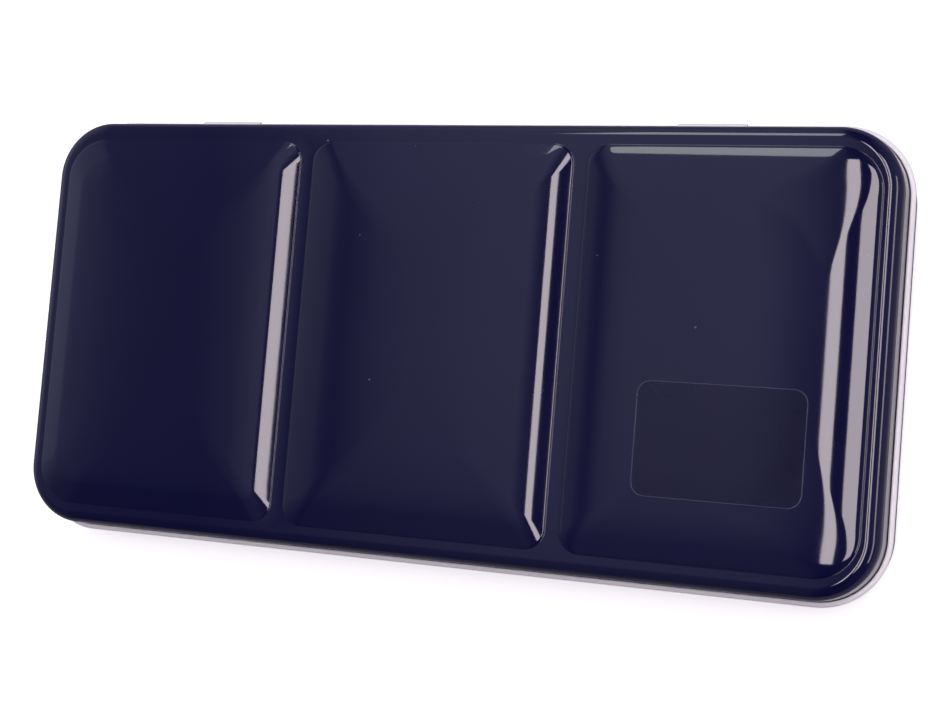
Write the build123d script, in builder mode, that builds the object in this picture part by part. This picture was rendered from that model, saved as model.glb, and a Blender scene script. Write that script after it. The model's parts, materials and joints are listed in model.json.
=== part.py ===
from build123d import *
import os
from math import atan, atan2, cos, degrees, radians, sin, tan

os.makedirs("parts", exist_ok=True)

# Millimetres. X is the tin's length, Y its depth with the hinge at +Y, and Z is up.
# The origin is the middle of the underside that the closed tin lies on.

# Driving sizes of the closed tin
LENGTH = 216.0
DEPTH = 106.0
CORNER_R = 16.0
SHEET = 0.35

# The lid's rolled rim, which is the hinge pin at the back
CURL_R = 0.8
CURL_Z = 12.7
CURL_SEAT_GAP = 0.05
CURL_START_DEG = 180.0
CURL_SWEEP_DEG = 300.0

# The lid's skirt, shoulder and top land
LAND_RISE = 10.5
SKIRT_SLOPE = 0.08
SHOULDER_R = 2.0

# Three pressed panels, which are mixing wells on the inside: inset and rise of each level
WELL_LENGTH = 66.2
WELL_DEPTH = 92.8
WELL_GAP = 3.0
WELL_CORNER_R = 10.0
WELL_CORNER_LOSS = 0.6
WELL_PROFILE = ((0.0, 0.0), (1.5, 0.8), (4.0, 1.5), (9.0, 2.1))
WELL_INSIDE_SHRINK = 0.12

# The base tray: flat floor, wall, ledge and neck with its folded edge
WALL_INSET = 0.45
WALL_DRAFT_DEG = 1.5
BOTTOM_R = 3.0
NECK_INSET = 2.15
NECK_TOP = 16.4
HEM_DROP = 0.9
HEM_THICKNESS = 0.7

# Two ears of the base that roll round the lid's rim through slots in its skirt
EAR_WIDTH = 16.0
EAR_X = 62.0
EAR_RUNNING_GAP = 0.05
EAR_END_DEG = -60.0
EAR_ROOT = 0.2
SLOT_SIDE_GAP = 0.4
SLOT_LOW = 0.15
SLOT_HIGH = 2.2
SLOT_REACH = 0.4

# Half pans, in three rows, each row in a tinplate rack
PAN_LENGTH = 19.0
PAN_WIDTH = 16.0
PAN_HEIGHT = 10.5
PAN_WALL = 0.9
PAN_DRAFT_DEG = 2.0
PAN_CORNER_R = 1.6
PAN_PITCH = 16.4
PANS_PER_ROW = 12
RACK_SHEET = 0.3
RACK_HEIGHT = 5.0
RACK_GAP = 0.25
RACK_CORNER_R = 0.6
ROW_Y = {"back": 36.2, "middle": 15.6, "front": -36.2}

# Paint cakes, one in each pan, named by colour from the left of each row
CAKE_SIDE_GAP = 0.05
CAKE_HEIGHT = 8.2
CAKE_EDGE_R = 0.7
CAKE_COLOURS = {
    "back": (
        "titanium_white", "lemon_yellow", "cadmium_yellow", "indian_yellow",
        "cadmium_orange", "vermilion_red", "cadmium_red", "alizarin_crimson",
        "rose_madder", "magenta", "violet", "ultramarine_violet",
    ),
    "middle": (
        "ultramarine_blue", "cobalt_blue", "cerulean_blue", "prussian_blue",
        "phthalo_blue", "indigo", "turquoise", "cobalt_green",
        "phthalo_green", "viridian", "sap_green", "olive_green",
    ),
    "front": (
        "naples_yellow", "yellow_ochre", "raw_sienna", "burnt_sienna",
        "english_red", "burnt_umber", "raw_umber", "sepia",
        "green_earth", "neutral_grey", "paynes_grey", "ivory_black",
    ),
}

# A short brush that lies in the free middle of the tray
BRUSH_Y = -10.0
BRUSH_BUTT_X = -71.5
HANDLE_LENGTH = 112.0
HANDLE_BUTT_R = 1.3
HANDLE_BELLY_R = 3.4
HANDLE_BELLY_X = 78.0
HANDLE_NECK_R = 2.8
FERRULE_GRIP = 6.0
FERRULE_LENGTH = 20.0
FERRULE_WALL = 0.3
FERRULE_MOUTH_R = 2.1
FERRULE_FIT = 0.02
BRISTLE_ROOT = 5.0
BRISTLE_LENGTH = 17.0
BRISTLE_BELLY_R = 2.5
BRISTLE_BELLY_X = 5.0
BRISTLE_POINT_R = 0.25
BRUSH_CLEARANCE = 0.08

# The clear blank label on the right-hand panel
LABEL_LENGTH = 37.5
LABEL_DEPTH = 25.5
LABEL_CORNER_R = 3.0
LABEL_X = 71.0
LABEL_Y = -19.3
LABEL_THICKNESS = 0.12

# Levels and radii that follow from the driving sizes
LAND_Z = CURL_Z + LAND_RISE
LEDGE_Z = CURL_Z - CURL_R - CURL_SEAT_GAP
RACK_FLOOR_TOP = SHEET + RACK_SHEET
WELL_PITCH = WELL_LENGTH + WELL_GAP
WELL_TOP_Z = LAND_Z + WELL_PROFILE[-1][1]
SKIRT_TAPER_DEG = degrees(atan(SKIRT_SLOPE))
HINGE_Y = DEPTH / 2 - CURL_R
EAR_INNER_R = CURL_R + EAR_RUNNING_GAP
EAR_OUTER_R = EAR_INNER_R + SHEET


def outline(inset):
    """Rounded rectangle that lies a given distance inside the tin's outer outline."""
    return RectangleRounded(LENGTH - 2 * inset, DEPTH - 2 * inset, CORNER_R - inset)


def save(part, name):
    """Label one sub-part and write its file."""
    part.label = name
    export_step(part, f"parts/{name}.step")


def arc_band(outer_r, thickness, start_deg, sweep_deg):
    """Closed outline of a curled strip of sheet, seen along the curl's axis."""
    with BuildLine() as band:
        outer = CenterArc((0, 0), outer_r, start_deg, sweep_deg)
        inner = CenterArc((0, 0), outer_r - thickness, start_deg, sweep_deg)
        Line(outer @ 0, inner @ 0)
        Line(outer @ 1, inner @ 1)
    return band.line


def well_section(inset, level):
    """Outline of one pressed panel at one level of its profile."""
    with BuildSketch(Plane.XY.offset(level)) as section:
        RectangleRounded(
            WELL_LENGTH - 2 * inset,
            WELL_DEPTH - 2 * inset,
            WELL_CORNER_R - WELL_CORNER_LOSS * inset,
        )
    return section.sketch


def well_pillow(drop, shrink):
    """Solid pillow of one panel, on a straight foot that reaches below the land."""
    levels = [well_section(inset + shrink, LAND_Z + rise - drop) for inset, rise in WELL_PROFILE]
    foot = well_section(shrink, LAND_Z - drop - 2 * SHEET)
    with BuildPart() as pillow:
        loft([foot, levels[0]], ruled=True)
        loft(levels)
    return pillow.part


def hinge_section_plane(x):
    """Plane across the hinge line at x, its own x axis backward and its y axis up."""
    return Plane(origin=(x, HINGE_Y, CURL_Z), x_dir=(0, 1, 0), z_dir=(1, 0, 0))


# Rolled rim of the lid: an open roll of sheet that runs round the whole outline
with BuildLine() as rim_path:
    rim_x = LENGTH / 2 - CORNER_R
    rim_y = DEPTH / 2 - CORNER_R
    rim_r = CORNER_R - CURL_R
    back_right = Line((0, HINGE_Y, CURL_Z), (rim_x, HINGE_Y, CURL_Z))
    corner_1 = JernArc(back_right @ 1, back_right % 1, rim_r, -90)
    right = Line(corner_1 @ 1, (rim_x + rim_r, -rim_y, CURL_Z))
    corner_2 = JernArc(right @ 1, right % 1, rim_r, -90)
    front = Line(corner_2 @ 1, (-rim_x, -HINGE_Y, CURL_Z))
    corner_3 = JernArc(front @ 1, front % 1, rim_r, -90)
    left = Line(corner_3 @ 1, (-rim_x - rim_r, rim_y, CURL_Z))
    corner_4 = JernArc(left @ 1, left % 1, rim_r, -90)
    Line(corner_4 @ 1, back_right @ 0)

with BuildPart() as lid_curl:
    with BuildSketch(hinge_section_plane(0)) as curl_section:
        add(arc_band(CURL_R, SHEET, CURL_START_DEG, CURL_SWEEP_DEG))
        make_face()
    sweep(path=rim_path.wire())

# Inside of the lid's skirt and land, as a solid to take away
with BuildPart() as lid_hollow:
    with BuildSketch(Plane.XY.offset(CURL_Z)):
        outline(2 * CURL_R)
    extrude(amount=LAND_RISE - SHEET, taper=SKIRT_TAPER_DEG)
    fillet(lid_hollow.faces().sort_by(Axis.Z)[-1].edges(), SHOULDER_R - SHEET)

well_outside = well_pillow(0.0, 0.0)
well_inside = well_pillow(SHEET, WELL_INSIDE_SHRINK)

# Lid shell: skirt, shoulder, land, three wells, hinge slots and the rolled rim
with BuildPart() as lid_shell:
    with BuildSketch(Plane.XY.offset(CURL_Z)):
        outline(2 * CURL_R - SHEET)
    extrude(amount=LAND_RISE, taper=SKIRT_TAPER_DEG)
    fillet(lid_shell.faces().sort_by(Axis.Z)[-1].edges(), SHOULDER_R)
    with Locations((-WELL_PITCH, 0), (0, 0), (WELL_PITCH, 0)):
        add(well_outside)
    add(lid_hollow.part, mode=Mode.SUBTRACT)
    with Locations((-WELL_PITCH, 0), (0, 0), (WELL_PITCH, 0)):
        add(well_inside, mode=Mode.SUBTRACT)
    with Locations(*[
        (side * EAR_X, HINGE_Y - CURL_R - SLOT_REACH, CURL_Z + SLOT_LOW) for side in (-1, 1)
    ]):
        Box(
            EAR_WIDTH + 2 * SLOT_SIDE_GAP,
            SLOT_REACH + SHEET,
            SLOT_HIGH - SLOT_LOW,
            align=(Align.CENTER, Align.MIN, Align.MIN),
            mode=Mode.SUBTRACT,
        )
    add(lid_curl.part)
save(lid_shell.part, "lid_shell")

# Inside of the base tray, as a solid to take away
with BuildPart() as tray_hollow:
    with BuildSketch(Plane.XY.offset(LEDGE_Z - SHEET)):
        outline(WALL_INSET + SHEET)
    extrude(amount=LEDGE_Z - 2 * SHEET, dir=(0, 0, -1), taper=WALL_DRAFT_DEG)
    fillet(tray_hollow.faces().sort_by(Axis.Z)[0].edges(), BOTTOM_R - SHEET)
    with BuildSketch(Plane.XY.offset(LEDGE_Z - 2 * SHEET)):
        outline(NECK_INSET + SHEET)
    extrude(amount=NECK_TOP - HEM_DROP - LEDGE_Z + 2 * SHEET)
    with BuildSketch(Plane.XY.offset(LEDGE_Z)):
        outline(NECK_INSET + HEM_THICKNESS)
    extrude(amount=NECK_TOP - LEDGE_Z)

# Base tray: floor, wall, ledge, neck with its folded edge, and ears
with BuildPart() as base_tray:
    with BuildSketch(Plane.XY.offset(LEDGE_Z)):
        outline(WALL_INSET)
    extrude(amount=LEDGE_Z, dir=(0, 0, -1), taper=WALL_DRAFT_DEG)
    fillet(base_tray.faces().sort_by(Axis.Z)[0].edges(), BOTTOM_R)
    with BuildSketch(Plane.XY.offset(LEDGE_Z)):
        outline(NECK_INSET)
    extrude(amount=NECK_TOP - LEDGE_Z)
    add(tray_hollow.part, mode=Mode.SUBTRACT)
    for side in (-1, 1):
        with BuildSketch(hinge_section_plane(side * EAR_X - EAR_WIDTH / 2)):
            add(arc_band(EAR_OUTER_R, SHEET, EAR_END_DEG, 90 - EAR_END_DEG))
            make_face()
            with Locations((0, EAR_INNER_R)):
                Rectangle(
                    NECK_INSET - CURL_R + EAR_ROOT, SHEET, align=(Align.MAX, Align.MIN)
                )
        extrude(amount=EAR_WIDTH)
save(base_tray.part, "base_tray")

# One half pan, open at the top
with BuildPart() as half_pan:
    with BuildSketch(Plane.XY.offset(PAN_HEIGHT)):
        RectangleRounded(PAN_WIDTH, PAN_LENGTH, PAN_CORNER_R)
    extrude(amount=PAN_HEIGHT, dir=(0, 0, -1), taper=PAN_DRAFT_DEG)
    with BuildSketch(Plane.XY.offset(PAN_HEIGHT)):
        RectangleRounded(
            PAN_WIDTH - 2 * PAN_WALL, PAN_LENGTH - 2 * PAN_WALL, PAN_CORNER_R - PAN_WALL / 2
        )
    extrude(
        amount=PAN_HEIGHT - PAN_WALL, dir=(0, 0, -1), taper=PAN_DRAFT_DEG, mode=Mode.SUBTRACT
    )

# One paint cake, which fills the pan's hollow from its floor
cake_top = PAN_WALL + CAKE_HEIGHT
cake_inset = PAN_WALL + CAKE_SIDE_GAP + (PAN_HEIGHT - cake_top) * tan(radians(PAN_DRAFT_DEG))
with BuildPart() as paint_cake:
    with BuildSketch(Plane.XY.offset(cake_top)):
        RectangleRounded(
            PAN_WIDTH - 2 * cake_inset, PAN_LENGTH - 2 * cake_inset, PAN_CORNER_R - PAN_WALL / 2
        )
    extrude(amount=CAKE_HEIGHT, dir=(0, 0, -1), taper=PAN_DRAFT_DEG)
    fillet(paint_cake.faces().sort_by(Axis.Z)[-1].edges(), CAKE_EDGE_R)

# One rack: a shallow tray of thin sheet that holds a row of pans
rack_inner_length = PANS_PER_ROW * PAN_PITCH + 2 * RACK_GAP
rack_inner_depth = PAN_LENGTH + 2 * RACK_GAP
with BuildPart() as pan_rack:
    with BuildSketch():
        RectangleRounded(
            rack_inner_length + 2 * RACK_SHEET, rack_inner_depth + 2 * RACK_SHEET, RACK_CORNER_R
        )
    extrude(amount=RACK_HEIGHT)
    with BuildSketch(Plane.XY.offset(RACK_SHEET)):
        RectangleRounded(rack_inner_length, rack_inner_depth, RACK_CORNER_R - RACK_SHEET)
    extrude(amount=RACK_HEIGHT, mode=Mode.SUBTRACT)

# The three rows: a rack, its pans as one group, and the cakes one by one
for row, row_y in ROW_Y.items():
    places = [
        ((k - (PANS_PER_ROW - 1) / 2) * PAN_PITCH, row_y, RACK_FLOOR_TOP)
        for k in range(PANS_PER_ROW)
    ]
    save(pan_rack.part.moved(Location((0, row_y, SHEET))), f"pan_rack_{row}")
    with BuildPart() as row_of_pans:
        with Locations(*places):
            add(half_pan.part)
    save(row_of_pans.part, f"half_pans_{row}_row")
    for place, colour in zip(places, CAKE_COLOURS[row]):
        save(paint_cake.part.moved(Location(place)), f"paint_cake_{colour}")

# The brush lies on its belly and on the ferrule, so its axis falls a little towards the tip
brush_fall = atan2(HANDLE_BELLY_R - HANDLE_NECK_R, HANDLE_LENGTH - HANDLE_BELLY_X)
butt_height = HANDLE_BELLY_R + BRUSH_CLEARANCE + HANDLE_BELLY_X * sin(brush_fall)
brush_plane = Plane(
    origin=(BRUSH_BUTT_X, BRUSH_Y, SHEET + butt_height),
    x_dir=(cos(brush_fall), 0, -sin(brush_fall)),
    z_dir=(0, -1, 0),
)
brush_axis = Axis(brush_plane.origin, brush_plane.x_dir)
ferrule_start = HANDLE_LENGTH - FERRULE_GRIP
ferrule_end = ferrule_start + FERRULE_LENGTH
grip_r = HANDLE_NECK_R - FERRULE_WALL - FERRULE_FIT
root_r = FERRULE_MOUTH_R - FERRULE_WALL - FERRULE_FIT

with BuildPart() as brush_handle:
    with BuildSketch(brush_plane):
        with BuildLine():
            Spline((0, HANDLE_BUTT_R), (HANDLE_BELLY_X, HANDLE_BELLY_R), (ferrule_start, HANDLE_NECK_R))
            Polyline(
                (ferrule_start, HANDLE_NECK_R),
                (ferrule_start, grip_r),
                (HANDLE_LENGTH, grip_r),
                (HANDLE_LENGTH, 0),
                (0, 0),
                (0, HANDLE_BUTT_R),
            )
        make_face()
    revolve(axis=brush_axis)
save(brush_handle.part, "brush_handle")

with BuildPart() as brush_ferrule:
    with BuildSketch(brush_plane):
        Polygon(
            (ferrule_start, HANDLE_NECK_R - FERRULE_WALL),
            (ferrule_start, HANDLE_NECK_R),
            (HANDLE_LENGTH, HANDLE_NECK_R),
            (ferrule_end - BRISTLE_ROOT, FERRULE_MOUTH_R),
            (ferrule_end, FERRULE_MOUTH_R),
            (ferrule_end, FERRULE_MOUTH_R - FERRULE_WALL),
            (ferrule_end - BRISTLE_ROOT, FERRULE_MOUTH_R - FERRULE_WALL),
            (HANDLE_LENGTH, HANDLE_NECK_R - FERRULE_WALL),
            align=None,
        )
    revolve(axis=brush_axis)
save(brush_ferrule.part, "brush_ferrule")

with BuildPart() as brush_bristles:
    with BuildSketch(brush_plane):
        with BuildLine():
            Spline(
                (ferrule_end, root_r),
                (ferrule_end + BRISTLE_BELLY_X, BRISTLE_BELLY_R),
                (ferrule_end + BRISTLE_LENGTH, BRISTLE_POINT_R),
            )
            Polyline(
                (ferrule_end + BRISTLE_LENGTH, BRISTLE_POINT_R),
                (ferrule_end + BRISTLE_LENGTH, 0),
                (ferrule_end - BRISTLE_ROOT, 0),
                (ferrule_end - BRISTLE_ROOT, root_r),
                (ferrule_end, root_r),
            )
        make_face()
    revolve(axis=brush_axis)
save(brush_bristles.part, "brush_bristles")

# The blank label lies on the flat top of the right-hand panel
with BuildPart() as blank_label:
    with BuildSketch(Plane((LABEL_X, LABEL_Y, WELL_TOP_Z))):
        RectangleRounded(LABEL_LENGTH, LABEL_DEPTH, LABEL_CORNER_R)
    extrude(amount=LABEL_THICKNESS)
save(blank_label.part, "blank_label")
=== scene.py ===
import bpy
import bmesh
import math
import random
import json
from mathutils import Vector, Matrix


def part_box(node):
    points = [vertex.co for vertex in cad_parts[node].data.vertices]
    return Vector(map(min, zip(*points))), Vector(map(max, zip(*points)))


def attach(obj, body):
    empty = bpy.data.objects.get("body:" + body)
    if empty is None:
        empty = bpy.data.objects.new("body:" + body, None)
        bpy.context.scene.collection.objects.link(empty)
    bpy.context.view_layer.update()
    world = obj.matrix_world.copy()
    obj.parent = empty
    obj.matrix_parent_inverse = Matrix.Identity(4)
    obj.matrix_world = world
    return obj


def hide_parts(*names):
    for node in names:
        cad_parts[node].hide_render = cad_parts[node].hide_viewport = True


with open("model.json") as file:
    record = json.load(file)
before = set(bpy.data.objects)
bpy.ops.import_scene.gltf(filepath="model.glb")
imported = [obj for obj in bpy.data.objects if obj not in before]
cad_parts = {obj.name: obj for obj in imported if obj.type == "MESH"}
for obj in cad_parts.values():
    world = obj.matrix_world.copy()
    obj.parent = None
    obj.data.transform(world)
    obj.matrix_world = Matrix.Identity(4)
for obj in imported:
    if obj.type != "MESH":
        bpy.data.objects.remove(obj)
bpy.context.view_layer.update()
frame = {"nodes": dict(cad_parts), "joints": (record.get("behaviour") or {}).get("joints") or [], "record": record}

# Metres. X is the tin's length, Y its depth with the hinge at +Y, Z is up.
MM = 0.001
SHEET = 0.35 * MM

# Sizes read from the frame
lid_lo, lid_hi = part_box("lid_shell")
tray_lo, tray_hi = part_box("base_tray")
label_lo, label_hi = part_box("blank_label")
hinge_at = Vector(frame["joints"][0]["pos_m"])
HALF_X = lid_hi.x
HALF_Y = lid_hi.y
CURL_R = HALF_Y - hinge_at.y
CURL_Z = hinge_at.z
TOP_Z = lid_hi.z
NECK_TOP = tray_hi.z

# Sizes of the tin's sections
CORNER_R = 16.0 * MM
SKIRT_SLOPE = 0.08
SHOULDER_R = 3.1 * MM
WELL_RISE = 2.1 * MM
LAND_Z = TOP_Z - WELL_RISE
WELL_LENGTH = 66.2 * MM
WELL_DEPTH = 92.8 * MM
WELL_PITCH = 69.2 * MM
WELL_CORNER_R = 10.0 * MM
EAR_X = 62.0 * MM
EAR_WIDTH = 16.0 * MM
EAR_GAP = 0.05 * MM
EAR_END_DEG = -60.0
EAR_ROOT = 0.2 * MM
EAR_EDGE = 0.06 * MM
SLOT_SIDE_GAP = 0.4 * MM
SLOT_LOW = 0.15 * MM
SLOT_HIGH = 2.2 * MM
BACK_FROM = 0.9 * HALF_Y
SAME_PLACE = 1e-7
WALL_INSET = 0.45 * MM
WALL_DRAFT = math.tan(math.radians(1.5))
BOTTOM_R = 3.0 * MM
NECK_INSET = 2.15 * MM
HEM_DROP = 0.9 * MM
HEM_THICKNESS = 0.7 * MM
HEM_ROLL_R = 0.35 * MM
LEDGE_ROLL_R = 0.5 * MM
TRAY_EDGE = 0.08 * MM
SOFTENED_ANGLE_DEG = 40
CURL_START_DEG = 180
CURL_END_DEG = 480
LEDGE_Z = CURL_Z - CURL_R - 0.05 * MM

# How finely the meshes are cut
CORNER_STEPS = 28
SIDE_COUNT_X = 40
SIDE_COUNT_Y = 24
CURL_STEPS = 22
SHOULDER_STEPS = 14
FOOT_STEPS = 6
BOTTOM_STEPS = 10
LEDGE_STEPS = 6
HEM_STEPS = 8
INSIDE_STEPS = 8
EAR_STEPS = 20
LABEL_RINGS = 12

# The camera that was solved from the tin's outline in the photograph
PHOTO_WIDTH_PX = 950
SENSOR_MM = 36.0
FOCAL_PX = 1589.6
CAMERA_TO_TIN_MM = (-8.1049, -4.5731, 380.8465)
CAMERA_ROTATION = (3.01839, 0.10811, -0.54369)


# Materials

def new_material(name):
    """A node material with its shader and output in place."""
    material = bpy.data.materials.new(name)
    material.use_nodes = True
    nodes = material.node_tree.nodes
    return material, nodes, material.node_tree.links, nodes["Principled BSDF"]


def noise(nodes, links, scale, detail=3.0, roughness=0.5, stretch=(1, 1, 1)):
    """Noise laid over the object's own coordinates, in metres."""
    coords = nodes.new("ShaderNodeTexCoord")
    mapping = nodes.new("ShaderNodeMapping")
    mapping.inputs["Scale"].default_value = stretch
    texture = nodes.new("ShaderNodeTexNoise")
    texture.inputs["Scale"].default_value = scale
    texture.inputs["Detail"].default_value = detail
    texture.inputs["Roughness"].default_value = roughness
    links.new(coords.outputs["Object"], mapping.inputs["Vector"])
    links.new(mapping.outputs["Vector"], texture.inputs["Vector"])
    return texture


def ramp(nodes, links, source, stops):
    """Colour ramp over a 0 to 1 value: stops of (place, colour)."""
    colours = nodes.new("ShaderNodeValToRGB")
    elements = colours.color_ramp.elements
    while len(elements) < len(stops):
        elements.new(0.5)
    for element, (place, colour) in zip(elements, stops):
        element.position = place
        element.color = (*colour, 1)
    links.new(source, colours.inputs["Fac"])
    return colours


def bump(nodes, links, height, distance, strength, normal=None):
    """Bump from a height output, chained onto an earlier normal if there is one."""
    node = nodes.new("ShaderNodeBump")
    node.inputs["Strength"].default_value = strength
    node.inputs["Distance"].default_value = distance
    links.new(height, node.inputs["Height"])
    if normal is not None:
        links.new(normal, node.inputs["Normal"])
    return node.outputs["Normal"]


# Roughness varies between these shares of a material's own
SMOOTHEST = 0.7
ENAMEL_ROUGHEST = 1.5
METAL_ROUGHEST = 1.4
METAL_SHADE = 0.86


def vary_roughness(nodes, links, shader, source, least, most):
    """Roughness that follows a 0 to 1 value between two limits."""
    rough = nodes.new("ShaderNodeMapRange")
    rough.inputs["To Min"].default_value = least
    rough.inputs["To Max"].default_value = most
    links.new(source, rough.inputs["Value"])
    links.new(rough.outputs["Result"], shader.inputs["Roughness"])


# Dust on the enamel: cells to the metre, share left clean, and how far the colour turns
DUST_SCALE = 170.0
DUST_CLEAN_SHARE = 0.86
DUST_EDGE = 0.05
DUST_CORE = 0.02
DUST_STRENGTH = 0.35


def enamel(name, dark, light, dust_colour, roughness):
    """Stoving enamel: even colour with a faint drift, a soft ripple and specks of dust."""
    material, nodes, links, shader = new_material(name)
    drift = noise(nodes, links, scale=22.0, detail=4.0)
    body = ramp(nodes, links, drift.outputs["Fac"], ((0.3, dark), (0.7, light)))
    coords = nodes.new("ShaderNodeTexCoord")
    specks = nodes.new("ShaderNodeTexVoronoi")
    specks.inputs["Scale"].default_value = DUST_SCALE
    links.new(coords.outputs["Object"], specks.inputs["Vector"])
    sparse = nodes.new("ShaderNodeSeparateColor")
    links.new(specks.outputs["Color"], sparse.inputs["Color"])
    chosen = nodes.new("ShaderNodeMath")
    chosen.operation = "GREATER_THAN"
    chosen.inputs[1].default_value = DUST_CLEAN_SHARE
    links.new(sparse.outputs["Red"], chosen.inputs[0])
    spot = nodes.new("ShaderNodeMapRange")
    spot.inputs["From Min"].default_value = DUST_EDGE
    spot.inputs["From Max"].default_value = DUST_CORE
    links.new(specks.outputs["Distance"], spot.inputs["Value"])
    dust = nodes.new("ShaderNodeMath")
    dust.operation = "MULTIPLY"
    links.new(spot.outputs["Result"], dust.inputs[0])
    links.new(chosen.outputs["Value"], dust.inputs[1])
    faint = nodes.new("ShaderNodeMath")
    faint.operation = "MULTIPLY"
    faint.inputs[1].default_value = DUST_STRENGTH
    links.new(dust.outputs["Value"], faint.inputs[0])
    mix = nodes.new("ShaderNodeMix")
    mix.data_type = "RGBA"
    links.new(faint.outputs["Value"], mix.inputs["Factor"])
    links.new(body.outputs["Color"], mix.inputs["A"])
    mix.inputs["B"].default_value = (*dust_colour, 1)
    links.new(mix.outputs["Result"], shader.inputs["Base Color"])
    smudge = noise(nodes, links, scale=60.0, detail=5.0)
    limits = (roughness * SMOOTHEST, roughness * ENAMEL_ROUGHEST)
    vary_roughness(nodes, links, shader, smudge.outputs["Fac"], *limits)
    shader.inputs["IOR"].default_value = 1.5
    ripple = noise(nodes, links, scale=75.0, detail=2.0)
    soft = bump(nodes, links, ripple.outputs["Fac"], distance=0.00003, strength=0.25)
    links.new(soft, shader.inputs["Normal"])
    return material


def plain_metal(name, colour, roughness, stretch, scale):
    """Metal with fine rolling or turning marks."""
    material, nodes, links, shader = new_material(name)
    grain = noise(nodes, links, scale, detail=4.0, roughness=0.6, stretch=stretch)
    dim = tuple(c * METAL_SHADE for c in colour)
    tint = ramp(nodes, links, grain.outputs["Fac"], ((0.3, dim), (0.7, colour)))
    links.new(tint.outputs["Color"], shader.inputs["Base Color"])
    shader.inputs["Metallic"].default_value = 1.0
    limits = (roughness * SMOOTHEST, roughness * METAL_ROUGHEST)
    vary_roughness(nodes, links, shader, grain.outputs["Fac"], *limits)
    marks = bump(nodes, links, grain.outputs["Fac"], distance=0.00003, strength=0.15)
    links.new(marks, shader.inputs["Normal"])
    return material


def pan_plastic():
    """White moulded plastic with a faint yellow cast and a fine moulded surface."""
    material, nodes, links, shader = new_material("pan_plastic_white")
    tone = noise(nodes, links, scale=90.0, detail=3.0)
    stops = ((0.3, (0.80, 0.80, 0.77)), (0.7, (0.86, 0.86, 0.84)))
    tint = ramp(nodes, links, tone.outputs["Fac"], stops)
    links.new(tint.outputs["Color"], shader.inputs["Base Color"])
    shader.inputs["Roughness"].default_value = 0.38
    shader.inputs["Subsurface Weight"].default_value = 0.06
    shader.inputs["Subsurface Scale"].default_value = 0.001
    grain = noise(nodes, links, scale=900.0, detail=2.0)
    fine = bump(nodes, links, grain.outputs["Fac"], distance=0.00004, strength=0.15)
    links.new(fine, shader.inputs["Normal"])
    return material


# Paint: share of the colour where it lies deep and pale, added grey, and its roughness
PAINT_DEEP = 0.62
PAINT_PALE = 1.15
PAINT_CHALK = 0.012
PAINT_ROUGHNESS = (0.32, 0.68)


def paint_material(name, colour):
    """Dry watercolour cake: matte gum, blotched where it dried thick, with fine grain."""
    material, nodes, links, shader = new_material(name)
    blotch = noise(nodes, links, scale=260.0, detail=5.0, roughness=0.6)
    deep = tuple(c * PAINT_DEEP for c in colour)
    pale = tuple(min(1.0, c * PAINT_PALE + PAINT_CHALK) for c in colour)
    tint = ramp(nodes, links, blotch.outputs["Fac"], ((0.3, deep), (0.55, colour), (0.75, pale)))
    links.new(tint.outputs["Color"], shader.inputs["Base Color"])
    vary_roughness(nodes, links, shader, blotch.outputs["Fac"], *PAINT_ROUGHNESS)
    grain = noise(nodes, links, scale=1500.0, detail=4.0, roughness=0.7)
    swell = bump(nodes, links, blotch.outputs["Fac"], distance=0.0003, strength=0.35)
    both = bump(nodes, links, grain.outputs["Fac"], distance=0.00008, strength=0.5, normal=swell)
    links.new(both, shader.inputs["Normal"])
    return material


def lacquered_wood():
    """Dark lacquer over turned birch: long faint grain under a clear coat."""
    material, nodes, links, shader = new_material("brush_handle_lacquer")
    grain = noise(nodes, links, scale=120.0, detail=6.0, roughness=0.6, stretch=(0.06, 1, 1))
    tint = ramp(
        nodes, links, grain.outputs["Fac"],
        ((0.3, (0.018, 0.004, 0.003)), (0.6, (0.05, 0.010, 0.006)), (0.8, (0.085, 0.02, 0.01))),
    )
    links.new(tint.outputs["Color"], shader.inputs["Base Color"])
    shader.inputs["Roughness"].default_value = 0.35
    shader.inputs["Coat Weight"].default_value = 0.8
    shader.inputs["Coat Roughness"].default_value = 0.06
    pores = bump(nodes, links, grain.outputs["Fac"], distance=0.00005, strength=0.1)
    links.new(pores, shader.inputs["Normal"])
    return material


def brush_hair():
    """Soft brown hair, darker at the root and golden at the tip."""
    material, nodes, links, shader = new_material("brush_hair_brown")
    strand = noise(nodes, links, scale=2600.0, detail=3.0, roughness=0.6, stretch=(0.04, 1, 1))
    tint = ramp(
        nodes, links, strand.outputs["Fac"],
        ((0.3, (0.07, 0.022, 0.008)), (0.55, (0.20, 0.075, 0.025)), (0.8, (0.40, 0.18, 0.065))),
    )
    links.new(tint.outputs["Color"], shader.inputs["Base Color"])
    shader.inputs["Roughness"].default_value = 0.45
    shader.inputs["Sheen Weight"].default_value = 0.3
    strands = bump(nodes, links, strand.outputs["Fac"], distance=0.0001, strength=0.5)
    links.new(strands, shader.inputs["Normal"])
    return material


def label_film(name, dark, light, alpha):
    """Thin clear film: see-through gloss with tiny clouds in its glue."""
    material, nodes, links, shader = new_material(name)
    cloud = noise(nodes, links, scale=180.0, detail=3.0)
    tint = ramp(nodes, links, cloud.outputs["Fac"], ((0.3, dark), (0.7, light)))
    links.new(tint.outputs["Color"], shader.inputs["Base Color"])
    shader.inputs["Roughness"].default_value = 0.10
    shader.inputs["Alpha"].default_value = alpha
    glue = bump(nodes, links, cloud.outputs["Fac"], distance=0.00004, strength=0.2)
    links.new(glue, shader.inputs["Normal"])
    return material


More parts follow.
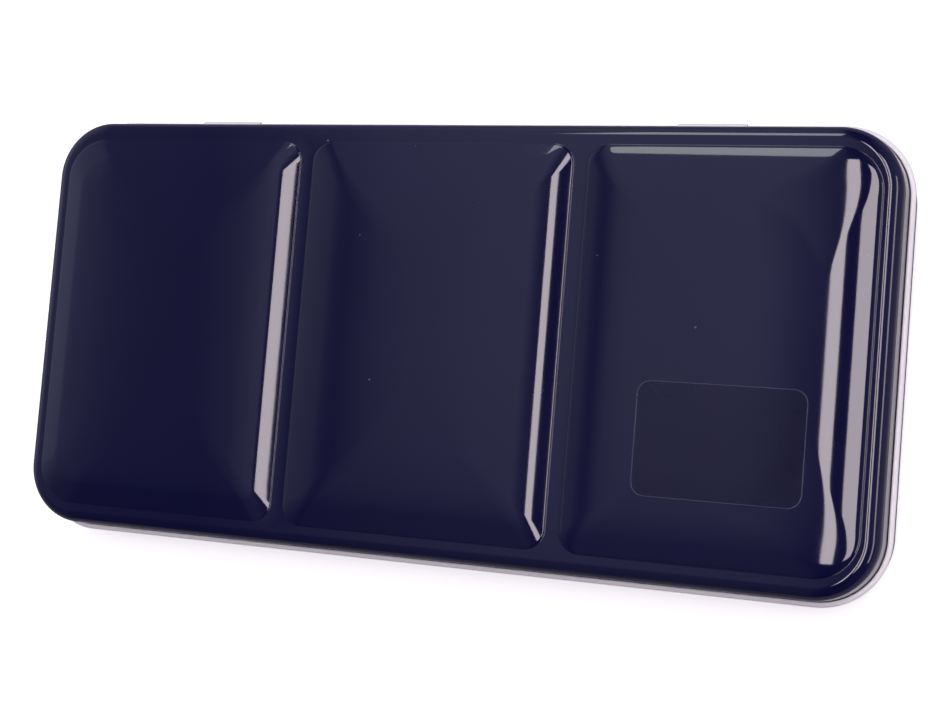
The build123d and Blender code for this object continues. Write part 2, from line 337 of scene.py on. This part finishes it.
# Colours at each end of the enamels' drift, then their dust's colour and roughness
NAVY = enamel(
    "enamel_navy", (0.0040, 0.0040, 0.0300), (0.0052, 0.0052, 0.0345), (0.35, 0.36, 0.5), 0.045
)
WHITE = enamel("enamel_white", (0.86, 0.86, 0.87), (0.89, 0.89, 0.90), (0.45, 0.44, 0.42), 0.09)
TINPLATE = plain_metal("rack_bright_tinplate", (0.66, 0.67, 0.69), 0.26, (0.08, 1, 1), 900.0)
NICKEL = plain_metal("ferrule_nickel_plate", (0.76, 0.74, 0.70), 0.14, (0.3, 1, 1), 1500.0)


# Mesh building

def rounded_loop(half_x, half_y, radius, extra_x=(), left_radius=None):
    """Points of a rounded rectangle, anticlockwise from the right side's lower end.
    The left corners may have a radius of their own. Straight sides are cut at even
    steps, and the sides along X also at the extra places."""
    right_r = radius
    left_r = radius if left_radius is None else left_radius
    points = []

    def corner(x, y, r, start):
        for k in range(CORNER_STEPS + 1):
            a = math.radians(start + 90.0 * k / CORNER_STEPS)
            points.append((x + r * math.cos(a), y + r * math.sin(a)))

    def side(a, b, cuts):
        for t in cuts:
            points.append((a[0] + (b[0] - a[0]) * t, a[1] + (b[1] - a[1]) * t))

    across = side_cuts(SIDE_COUNT_X, extra_x)
    upright = side_cuts(SIDE_COUNT_Y, ())
    right_x, right_y = half_x - right_r, half_y - right_r
    left_x, left_y = half_x - left_r, half_y - left_r
    side((half_x, -right_y), (half_x, right_y), upright)
    corner(right_x, right_y, right_r, 0)
    side((right_x, half_y), (-left_x, half_y), across)
    corner(-left_x, left_y, left_r, 90)
    side((-half_x, left_y), (-half_x, -left_y), upright)
    corner(-left_x, -left_y, left_r, 180)
    side((-left_x, -half_y), (right_x, -half_y), across)
    corner(right_x, -right_y, right_r, 270)
    return points


def side_cuts(count, extra):
    """Shares along a straight side where it is cut."""
    return sorted(set([k / count for k in range(1, count)] + list(extra)))


def ear_shares(half_x, radius):
    """Shares along the back side where the hinge slots begin and end."""
    run = 2 * (half_x - radius)
    edges = [s * EAR_X + t * (EAR_WIDTH / 2 + SLOT_SIDE_GAP) for s in (-1, 1) for t in (-1, 1)]
    return [(half_x - radius - e) / run for e in edges]


def ring(bm, inset, z, shares=()):
    """Ring of vertices round the tin at an inset from its outline."""
    points = rounded_loop(HALF_X - inset, HALF_Y - inset, CORNER_R - inset, shares)
    return [bm.verts.new((x, y, z)) for x, y in points]


def bridge(bm, low, high, material=0, skip=None):
    """Faces between two rings with the same number of vertices."""
    count = len(low)
    for k in range(count):
        j = (k + 1) % count
        if skip and skip(low[k], low[j], high[k]):
            continue
        face = bm.faces.new((low[k], low[j], high[j], high[k]))
        face.material_index = material
        face.smooth = True


def arc(cx, cz, radius, start, end, steps):
    """Points (inset, z) on an arc; angles in degrees, 0 towards smaller inset."""
    turn = [math.radians(start + (end - start) * k / steps) for k in range(steps + 1)]
    return [(cx - radius * math.cos(a), cz + radius * math.sin(a)) for a in turn]


def finish_piece(bm, name, body, materials, nodes=()):
    """Turn a bmesh into a named piece that rides on a body."""
    mesh = bpy.data.meshes.new(name)
    bm.normal_update()
    bm.to_mesh(mesh)
    bm.free()
    piece = bpy.data.objects.new(name, mesh)
    bpy.context.scene.collection.objects.link(piece)
    for material in materials:
        mesh.materials.append(material)
    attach(piece, body)
    if nodes:
        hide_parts(*nodes)
    return piece


# Slope of a pressed panel in degrees, by the distance in from its edge in mm
LEFT_SLOPES = (
    (0, 40), (0.15, 16.8), (1.5, 16.0), (4.3, 14.0), (5.4, 7.0), (8, 3.0), (12, 1.4), (20, 0.5), (33, 0)
)
MIDDLE_SLOPES = (
    (0, 44), (0.25, 14.8), (3.3, 11.4), (5.1, 8.6), (8, 5.0), (11.3, 2.6), (20, 0.8), (33, 0)
)
RIGHT_SLOPES = (
    (0, 44), (0.45, 18), (1.1, 13), (3.3, 9.5), (4.9, 7.5), (8, 4.5), (11.3, 2.5), (20, 0.8), (33, 0)
)
FOOT_FILLET = 0.35 * MM
PANEL_STEPS = 60
PANEL_REACH = 30.0 * MM
PANEL_TOP_GAP = 0.03 * MM
# Rings crowd towards the edge by this power, and the rise may be stretched by this much
PANEL_CROWDING = 2.2
PANEL_MOST_STRETCH = 1.15


def slope_at(table, d):
    """Slope at a distance in from the panel's edge, read between the table's rows."""
    for (d0, s0), (d1, s1) in zip(table, table[1:]):
        if d <= d1 * MM:
            return math.radians(s0 + (s1 - s0) * (d / MM - d0) / (d1 - d0))
    return 0.0


def panel_levels(table):
    """Insets and rises of a panel's rings: tight foot, steep edge, then a slow crown."""
    edge = math.radians(table[0][1])
    levels = []
    for k in range(FOOT_STEPS + 1):
        a = edge * k / FOOT_STEPS
        levels.append((FOOT_FILLET * math.sin(a), FOOT_FILLET * (1 - math.cos(a))))
    d, z = levels[-1]
    foot = d
    for k in range(1, PANEL_STEPS + 1):
        nd = foot + (PANEL_REACH - foot) * (k / PANEL_STEPS) ** PANEL_CROWDING
        z += math.tan(slope_at(table, (nd + d) / 2 - foot)) * (nd - d)
        d = nd
        levels.append((d, z))
    share = min(PANEL_MOST_STRETCH, (WELL_RISE - PANEL_TOP_GAP) / levels[-1][1])
    return [(a, b * share) for a, b in levels]


# How much rounder each panel's rings grow towards its middle
PANEL_BOW = {-1: 0.03, 0: 0.03, 1: 0.12}
GROOVE_BOW = 0.02
GROOVE_CORNER_R = 5.0 * MM
CORNER_TIGHTENING = -0.5
CORNER_MOST_SHARE = 0.96
CORNER_LEAST_R = 2.5 * MM
PANEL_LEVELS = {
    -1: panel_levels(LEFT_SLOPES), 0: panel_levels(MIDDLE_SLOPES), 1: panel_levels(RIGHT_SLOPES)
}


def panel_outline(d, panel):
    """Ring of a panel at a distance in from its edge, rounder towards the middle.
    The corners beside a groove are tighter than those at the tin's ends."""
    mm = d / MM
    radii = []
    for side in (1, -1):
        at_end = panel == side
        start = WELL_CORNER_R if at_end else GROOVE_CORNER_R
        bow = PANEL_BOW[panel] if at_end else GROOVE_BOW
        radius = start + (CORNER_TIGHTENING * mm + bow * mm * mm) * MM
        radii.append(max(min(radius, CORNER_MOST_SHARE * (WELL_LENGTH / 2 - d)), CORNER_LEAST_R))
    points = rounded_loop(WELL_LENGTH / 2 - d, WELL_DEPTH / 2 - d, radii[0], (), radii[1])
    return [(x + panel * WELL_PITCH, y) for x, y in points]


def build_lid():
    """Lid shell: skirt with hinge slots, shoulder, land and three pillow panels."""
    bm = bmesh.new()
    skirt_top = LAND_Z - SHOULDER_R
    outer_low = 2 * CURL_R - SHEET
    shares = ear_shares(HALF_X - outer_low, CORNER_R - outer_low)
    levels = [(outer_low, CURL_Z), (outer_low, CURL_Z + SLOT_LOW)]
    levels.append((outer_low + SKIRT_SLOPE * SLOT_HIGH, CURL_Z + SLOT_HIGH))
    mid_z = (CURL_Z + SLOT_HIGH + skirt_top) / 2
    levels.append((outer_low + SKIRT_SLOPE * (mid_z - CURL_Z), mid_z))
    lean = math.degrees(math.atan(SKIRT_SLOPE))
    top_inset = outer_low + SKIRT_SLOPE * (skirt_top - CURL_Z)
    levels += arc(top_inset + SHOULDER_R, skirt_top, SHOULDER_R, lean, 90, SHOULDER_STEPS)
    rings = [ring(bm, inset, z, shares) for inset, z in levels]

    def in_slot(a, b, c):
        if min(a.co.y, b.co.y) < BACK_FROM or abs(a.co.y - b.co.y) > SAME_PLACE:
            return False
        x = abs((a.co.x + b.co.x) / 2)
        return abs(x - EAR_X) < EAR_WIDTH / 2 + SLOT_SIDE_GAP

    for k in range(len(rings) - 1):
        bridge(bm, rings[k], rings[k + 1], 0, in_slot if k == 1 else None)
    land_ring = rings[-1]
    edges = [bm.edges.get((land_ring[k], land_ring[k - 1])) for k in range(len(land_ring))]
    for panel in (-1, 0, 1):
        loops = []
        for d, rise in PANEL_LEVELS[panel]:
            loops.append([bm.verts.new((x, y, LAND_Z + rise)) for x, y in panel_outline(d, panel)])
        for low, high in zip(loops, loops[1:]):
            bridge(bm, low, high)
        cap = bm.faces.new(loops[-1])
        cap.smooth = True
        edges += [bm.edges.get((loops[0][k], loops[0][k - 1])) for k in range(len(loops[0]))]
    filled = bmesh.ops.triangle_fill(bm, use_beauty=True, use_dissolve=False, edges=edges)
    for item in filled["geom"]:
        if isinstance(item, bmesh.types.BMFace):
            item.smooth = True
            if item.normal.z < 0:
                item.normal_flip()
    lid = finish_piece(bm, "lid_enamelled_shell", "lid", (NAVY, WHITE), ("lid_shell",))
    shell = lid.modifiers.new("sheet", "SOLIDIFY")
    shell.thickness = SHEET
    shell.offset = -1
    shell.use_even_offset = True
    shell.material_offset = 1
    shell.material_offset_rim = 1


def build_curl():
    """Rolled rim of the lid: an open roll of the sheet, white side out."""
    bm = bmesh.new()
    outer = arc(CURL_R, CURL_Z, CURL_R, CURL_START_DEG, CURL_END_DEG, CURL_STEPS)
    inner = arc(CURL_R, CURL_Z, CURL_R - SHEET, CURL_END_DEG, CURL_START_DEG, CURL_STEPS)
    rings = [ring(bm, inset, z) for inset, z in outer + inner]
    for k in range(len(rings)):
        bridge(bm, rings[k], rings[(k + 1) % len(rings)])
    bmesh.ops.recalc_face_normals(bm, faces=bm.faces)
    finish_piece(bm, "lid_rolled_rim", "lid", (WHITE,), ("lid_shell",))


def tray_profile():
    """Section of the tray as (inset, z): its outside from the bottom up, then its inside."""
    foot_z = BOTTOM_R
    wall_foot = WALL_INSET + WALL_DRAFT * (LEDGE_Z - foot_z)
    t = SHEET
    outside = arc(wall_foot + BOTTOM_R, foot_z, BOTTOM_R, -90, 0, BOTTOM_STEPS)
    roll = LEDGE_ROLL_R
    outside += arc(WALL_INSET + roll, LEDGE_Z - roll, roll, 0, 90, LEDGE_STEPS)
    outside += [(NECK_INSET, LEDGE_Z), (NECK_INSET, NECK_TOP - HEM_ROLL_R)]
    outside += arc(
        NECK_INSET + HEM_ROLL_R, NECK_TOP - HEM_ROLL_R, HEM_ROLL_R, 0, 180, HEM_STEPS
    )
    outside += [(NECK_INSET + HEM_THICKNESS, NECK_TOP - HEM_DROP)]
    inside = [(NECK_INSET + t, NECK_TOP - HEM_DROP), (NECK_INSET + t, LEDGE_Z - t)]
    inside += [(WALL_INSET + t, LEDGE_Z - t)]
    inside += arc(wall_foot + BOTTOM_R, foot_z, BOTTOM_R - t, 0, -90, INSIDE_STEPS)
    return outside, inside


def build_tray():
    """Base tray: flat bottom, wall, ledge and hemmed neck, white inside."""
    bm = bmesh.new()
    outside, inside = tray_profile()
    rings = [ring(bm, inset, z) for inset, z in outside + inside]
    for k in range(len(rings) - 1):
        bridge(bm, rings[k], rings[k + 1], 0 if k < len(outside) - 1 else 1)
    bm.faces.new(list(reversed(rings[0])))
    bm.faces.new(rings[-1]).material_index = 1
    bmesh.ops.recalc_face_normals(bm, faces=bm.faces)
    tray = finish_piece(
        bm, "base_enamelled_tray", "base", (NAVY, WHITE), ("base_tray",)
    )
    add_edge_softening(tray, TRAY_EDGE)


def add_edge_softening(piece, width):
    """Small rounded edges, and normals that keep flat faces flat."""
    soft = piece.modifiers.new("edges", "BEVEL")
    soft.width = width
    soft.segments = 2
    soft.limit_method = "ANGLE"
    soft.angle_limit = math.radians(SOFTENED_ANGLE_DEG)
    soft.harden_normals = True
    soft.use_clamp_overlap = True


def ear_arc(radius):
    """Points (y, z) of an ear's curl round the rim, from its free end up to the top."""
    turn = [EAR_END_DEG + (90 - EAR_END_DEG) * k / EAR_STEPS for k in range(EAR_STEPS + 1)]
    angles = [math.radians(a) for a in turn]
    return [(hinge_at.y + radius * math.cos(a), CURL_Z + radius * math.sin(a)) for a in angles]


def build_ears():
    """Two hinge ears, rolled round the lid's rim, white side out."""
    for side, word in ((-1, "left"), (1, "right")):
        bm = bmesh.new()
        inner_r = CURL_R + EAR_GAP
        outer_r = inner_r + SHEET
        start = hinge_at.y - (NECK_INSET - CURL_R) - EAR_ROOT
        outer = ear_arc(outer_r)
        inner = ear_arc(inner_r)
        root = [(start, CURL_Z + outer_r), (start, CURL_Z + inner_r)]
        section = outer + root + list(reversed(inner))
        x0 = side * EAR_X - EAR_WIDTH / 2
        near = [bm.verts.new((x0, y, z)) for y, z in section]
        far = [bm.verts.new((x0 + EAR_WIDTH, y, z)) for y, z in section]
        bm.faces.new(near)
        bm.faces.new(list(reversed(far)))
        bridge(bm, near, far)
        bmesh.ops.recalc_face_normals(bm, faces=bm.faces)
        ear = finish_piece(bm, f"hinge_ear_{word}", "base", (WHITE,), ("base_tray",))
        add_edge_softening(ear, EAR_EDGE)


def panel_height(x, y):
    """Height of the right-hand panel's surface at a point, from its rings' distances."""
    dx = WELL_LENGTH / 2 - abs(x - WELL_PITCH)
    dy = WELL_DEPTH / 2 - abs(y)
    d = max(0.0, min(dx, dy))
    levels = PANEL_LEVELS[1]
    rise = levels[-1][1]
    for (d0, z0), (d1, z1) in zip(levels, levels[1:]):
        if d0 <= d <= d1:
            rise = z0 + (z1 - z0) * (d - d0) / (d1 - d0)
            break
    return LAND_Z + rise


# Label: where its cut edge begins as a share of its size, and its film's sizes
LABEL_EDGE_SHARE = 0.988
LABEL_CORNER_R = 3.0 * MM
LABEL_LIFT = 0.01 * MM
LABEL_FILM = 0.05 * MM


def build_label():
    """Clear blank label, laid on the crowned panel."""
    bm = bmesh.new()
    cx = (label_lo.x + label_hi.x) / 2
    cy = (label_lo.y + label_hi.y) / 2
    half_x = (label_hi.x - label_lo.x) / 2
    half_y = (label_hi.y - label_lo.y) / 2
    shares = [k / LABEL_RINGS for k in range(LABEL_RINGS + 1)] + [LABEL_EDGE_SHARE]
    shares.sort()
    loops = []
    for share in reversed(shares[1:]):
        pts = rounded_loop(half_x * share, half_y * share, LABEL_CORNER_R * share)
        loops.append([(x + cx, y + cy) for x, y in pts])
    layers = []
    for height in (LABEL_LIFT + LABEL_FILM, LABEL_LIFT):
        rows = []
        for loop in loops:
            rows.append([bm.verts.new((x, y, panel_height(x, y) + height)) for x, y in loop])
        for k, (a, b) in enumerate(zip(rows, rows[1:])):
            bridge(bm, a, b, 1 if k == 0 else 0)
        bm.faces.new(rows[-1]).smooth = True
        layers.append(rows)
    bridge(bm, layers[1][0], layers[0][0], 1)
    bmesh.ops.recalc_face_normals(bm, faces=bm.faces)
    clear = label_film("label_clear_film", (0.010, 0.010, 0.030), (0.014, 0.014, 0.040), 0.12)
    cut = label_film("label_cut_edge", (0.16, 0.16, 0.24), (0.22, 0.22, 0.30), 0.16)
    finish_piece(bm, "label_clear_blank", "lid", (clear, cut), ("blank_label",))


build_lid()
build_curl()
build_tray()
build_ears()
build_label()

# Paint cakes: each a block with a worn, slightly dished top in its own colour
CAKE_EDGE = 0.7 * MM
CAKE_CORNER_R = 1.0 * MM
CAKE_DISH = 0.45 * MM
CAKE_CORE = 0.5 * MM
CAKE_RINGS = 10
CAKE_EDGE_STEPS = 4
CAKE_CORNER_STEPS = 4
CAKE_SIDE_CUTS = 6
CAKE_RIPPLE = 0.012 * MM
CAKE_FOOT = 0.3 * MM
CAKE_SEED = 7
# Where the worn spot may lie, how deep it may be, and the ripples' waves
SPOT_SHARE = 0.35
SPOT_DEPTHS = (0.5, 1.0)
WAVE_COUNT = 4
WAVE_NUMBERS = (300, 900)
WAVE_TURN = 6.28


def cake_loop(centre, half_x, half_y, radius):
    """Points of a cake's outline round its centre."""
    points = []
    for quarter, (sx, sy) in enumerate(((1, 1), (-1, 1), (-1, -1), (1, -1))):
        for k in range(CAKE_CORNER_STEPS + 1):
            a = math.radians(90 * quarter + 90 * k / CAKE_CORNER_STEPS)
            x = sx * (half_x - radius) + radius * math.cos(a)
            y = sy * (half_y - radius) + radius * math.sin(a)
            points.append((centre.x + x, centre.y + y))
    corners = []
    for k, (x, y) in enumerate(points):
        corners.append((x, y))
        if k % (CAKE_CORNER_STEPS + 1) == CAKE_CORNER_STEPS:
            nx, ny = points[(k + 1) % len(points)]
            for t in range(1, CAKE_SIDE_CUTS):
                corners.append((x + (nx - x) * t / CAKE_SIDE_CUTS, y + (ny - y) * t / CAKE_SIDE_CUTS))
    return corners


def build_cake(name, colour, rng):
    """Cake with a level rim that is worn down a little towards a random spot."""
    low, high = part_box(name)
    centre = (low + high) / 2
    half = (high - low) / 2
    bm = bmesh.new()
    spot_x = rng.uniform(-SPOT_SHARE, SPOT_SHARE) * half.x
    spot_y = rng.uniform(-SPOT_SHARE, SPOT_SHARE) * half.y
    spot = Vector((spot_x, spot_y, 0))
    depth = CAKE_DISH * rng.uniform(*SPOT_DEPTHS)
    waves = []
    for _ in range(WAVE_COUNT):
        waves.append((rng.uniform(*WAVE_NUMBERS), rng.uniform(*WAVE_NUMBERS), rng.uniform(0, WAVE_TURN)))

    def top_drop(x, y):
        away = (Vector((x - centre.x, y - centre.y, 0)) - spot).length / half.y
        dish = depth * max(0.0, 1 - away * away)
        ripple = sum(math.sin(a * x + b * y + c) for a, b, c in waves)
        return dish + CAKE_RIPPLE * (ripple + len(waves))

    def add_loop(inset, z, level):
        radius = max(CAKE_CORNER_R - inset, CAKE_FOOT)
        loop = cake_loop(centre, half.x - inset, half.y - inset, radius)
        return [bm.verts.new((x, y, z - level * top_drop(x, y))) for x, y in loop]

    loops = [add_loop(CAKE_FOOT, low.z, 0), add_loop(0, low.z + CAKE_FOOT, 0)]
    for k in range(CAKE_EDGE_STEPS + 1):
        a = math.radians(90 * k / CAKE_EDGE_STEPS)
        inset = CAKE_EDGE * (1 - math.cos(a))
        z = high.z - CAKE_EDGE * (1 - math.sin(a))
        loops.append(add_loop(inset, z, k / CAKE_EDGE_STEPS))
    for k in range(1, CAKE_RINGS):
        inset = CAKE_EDGE + (half.x - CAKE_EDGE - CAKE_CORE) * k / (CAKE_RINGS - 1)
        loops.append(add_loop(inset, high.z, 1))
    for a, b in zip(loops, loops[1:]):
        bridge(bm, a, b)
    bm.faces.new(loops[-1]).smooth = True
    bm.faces.new(list(reversed(loops[0])))
    bmesh.ops.recalc_face_normals(bm, faces=bm.faces)
    paint = paint_material(name.replace("paint_cake", "paint"), colour)
    finish_piece(bm, name.replace("paint_cake", "cake"), "base", (paint,), (name,))


colour_of = {m["slot"]: m["base_color"] for m in frame["record"]["materials"]}
slot_of = {s["node"]: s["material_slot"] for s in frame["record"]["subparts"]}
rng = random.Random(CAKE_SEED)
for name in sorted(frame["nodes"]):
    if name.startswith("paint_cake_"):
        build_cake(name, colour_of[slot_of[name]][:3], rng)

# Racks, pans and brush keep their solids' shapes
PAN_WHITE = pan_plastic()
KEPT = {"brush_handle": lacquered_wood(), "brush_ferrule": NICKEL, "brush_bristles": brush_hair()}
for row in ("back", "middle", "front"):
    KEPT[f"half_pans_{row}_row"] = PAN_WHITE
    KEPT[f"pan_rack_{row}"] = TINPLATE
for name, material in KEPT.items():
    for mesh_slot in frame["nodes"][name].material_slots:
        mesh_slot.material = material


# Floor, camera and light

FLOOR_IN_REFLECTIONS = (0.30, 0.30, 0.33)
FLOOR_LIFT = 0.45
FLOOR_SIZE = 8.0
FLOOR_GAP = 0.05 * MM
CLIP_START = 0.01


def build_floor():
    """Floor under the tin: white to the camera, and dimmer to all other rays."""
    material, nodes, links, shader = new_material("floor_white")
    mottle = noise(nodes, links, scale=3.0)
    stops = ((0.3, (0.93, 0.93, 0.93)), (0.7, (0.95, 0.95, 0.95)))
    tint = ramp(nodes, links, mottle.outputs["Fac"], stops)
    path = nodes.new("ShaderNodeLightPath")
    seen = nodes.new("ShaderNodeMix")
    seen.data_type = "RGBA"
    links.new(path.outputs["Is Camera Ray"], seen.inputs["Factor"])
    seen.inputs["A"].default_value = (*FLOOR_IN_REFLECTIONS, 1)
    links.new(tint.outputs["Color"], seen.inputs["B"])
    links.new(seen.outputs["Result"], shader.inputs["Base Color"])
    glow = nodes.new("ShaderNodeMath")
    glow.operation = "MULTIPLY"
    glow.inputs[1].default_value = FLOOR_LIFT
    links.new(path.outputs["Is Camera Ray"], glow.inputs[0])
    shader.inputs["Emission Color"].default_value = (1, 1, 1, 1)
    links.new(glow.outputs["Value"], shader.inputs["Emission Strength"])
    shader.inputs["Roughness"].default_value = 0.9
    shader.inputs["Specular IOR Level"].default_value = 0.1
    bpy.ops.mesh.primitive_plane_add(size=FLOOR_SIZE, location=(0, 0, -FLOOR_GAP))
    floor = bpy.context.object
    floor.name = "floor"
    floor.data.materials.append(material)


def build_camera():
    """Camera at the photograph's place, from the solved pose."""
    turn = Vector(CAMERA_ROTATION)
    to_camera = Matrix.Rotation(turn.length, 3, turn.normalized())
    tin_in_camera = Vector(CAMERA_TO_TIN_MM) * MM
    place = -(to_camera.transposed() @ tin_in_camera) + Vector((0, 0, CURL_Z))
    flip = Matrix(((1, 0, 0), (0, -1, 0), (0, 0, -1)))
    axes = to_camera.transposed() @ flip
    data = bpy.data.cameras.new("camera")
    camera = bpy.data.objects.new("camera", data)
    bpy.context.scene.collection.objects.link(camera)
    camera.matrix_world = Matrix.Translation(place) @ axes.to_4x4()
    data.sensor_width = SENSOR_MM
    data.lens = FOCAL_PX / PHOTO_WIDTH_PX * SENSOR_MM
    data.clip_start = CLIP_START
    bpy.context.scene.camera = camera


BOX_FAR = 6.0
WARM = (1.0, 0.89, 0.95)
NEUTRAL = (1, 1, 1)

# Area lights: tilts to the right and back, angles covered across and along, strength, tint
SOFT_BOXES = {
    "soft_box_a": (2.0, 5.0, 4.6, 45, 10.4, WARM),
    "soft_box_b": (16.0, 5.0, 10.5, 45, 9.0, WARM),
    "soft_box_side": (66.0, 0.0, 12, 50, 4.5, WARM),
    "soft_box_back": (-14.3, 43.0, 11.4, 19, 4.7, NEUTRAL),
}


def box_size(across_deg, along_deg):
    """Width and length of a light that covers two angles as seen from the tin."""
    return [2 * BOX_FAR * math.tan(math.radians(a / 2)) for a in (across_deg, along_deg)]


def soft_box(name, towards, size, radiance, tint):
    """Rectangular area light that faces the tin from a direction."""
    data = bpy.data.lights.new(name, "AREA")
    data.shape = "RECTANGLE"
    data.size, data.size_y = size
    data.color = tint
    data.energy = radiance * math.pi * size[0] * size[1]
    lamp = bpy.data.objects.new(name, data)
    direction = Vector(towards).normalized()
    lamp.location = direction * BOX_FAR
    across = Vector((0, 1, 0)).cross(direction).normalized()
    along = direction.cross(across)
    lamp.rotation_euler = Matrix((across, along, direction)).transposed().to_euler()
    bpy.context.scene.collection.objects.link(lamp)


def tilt_direction(right_deg, back_deg):
    """Direction tilted from straight up, to the right and to the back."""
    r = math.radians(right_deg)
    b = math.radians(back_deg)
    return Vector((math.sin(r) * math.cos(b), math.sin(b), math.cos(r) * math.cos(b)))


# Brightness of the surroundings by their direction along X, from -1 to 1
SKY_ACROSS = (
    (-1.0, 0.74), (-0.80, 0.42), (-0.62, 0.32), (-0.55, 0.15), (-0.50, 0.12), (-0.46, 0.22),
    (-0.40, 0.40), (-0.32, 0.50), (-0.17, 0.53), (-0.09, 0.24), (-0.02, 0.06), (0.05, 0.02),
    (0.24, 0.02), (0.42, 0.15), (1.0, 0.30),
)
# Factor on that brightness by their direction along Y
SKY_ALONG = ((-1.0, 0.10), (-0.30, 0.14), (0.06, 0.50), (0.22, 0.56), (0.50, 0.58), (1.0, 0.50))
SKY_STRENGTH = 2.0
SKY_BLUE = 1.35


def build_world():
    """Dim surroundings with bands of light, and plain white to the camera."""
    world = bpy.data.worlds.new("studio")
    bpy.context.scene.world = world
    world.use_nodes = True
    nodes = world.node_tree.nodes
    links = world.node_tree.links
    back = nodes["Background"]
    coords = nodes.new("ShaderNodeTexCoord")
    split = nodes.new("ShaderNodeSeparateXYZ")
    links.new(coords.outputs["Generated"], split.inputs["Vector"])
    tables = (
        [((x + 1) / 2, (v, v, v * SKY_BLUE)) for x, v in SKY_ACROSS],
        [((y + 1) / 2, (v, v, v)) for y, v in SKY_ALONG],
    )
    skies = []
    for axis, stops in zip("XY", tables):
        place = nodes.new("ShaderNodeMapRange")
        place.inputs["From Min"].default_value = -1.0
        links.new(split.outputs[axis], place.inputs["Value"])
        skies.append(ramp(nodes, links, place.outputs["Result"], stops))
    level = nodes.new("ShaderNodeVectorMath")
    level.operation = "MULTIPLY"
    links.new(skies[0].outputs["Color"], level.inputs[0])
    links.new(skies[1].outputs["Color"], level.inputs[1])
    path = nodes.new("ShaderNodeLightPath")
    seen = nodes.new("ShaderNodeMix")
    seen.data_type = "RGBA"
    links.new(path.outputs["Is Camera Ray"], seen.inputs["Factor"])
    links.new(level.outputs["Vector"], seen.inputs["A"])
    white = 1 / SKY_STRENGTH
    seen.inputs["B"].default_value = (white, white, white, 1)
    links.new(seen.outputs["Result"], back.inputs["Color"])
    back.inputs["Strength"].default_value = SKY_STRENGTH


build_floor()
build_camera()
build_world()
for name, (right, back, across, along, strength, tint) in SOFT_BOXES.items():
    soft_box(name, tilt_direction(right, back), box_size(across, along), strength, tint)

scene = bpy.context.scene
scene.view_settings.view_transform = "Standard"
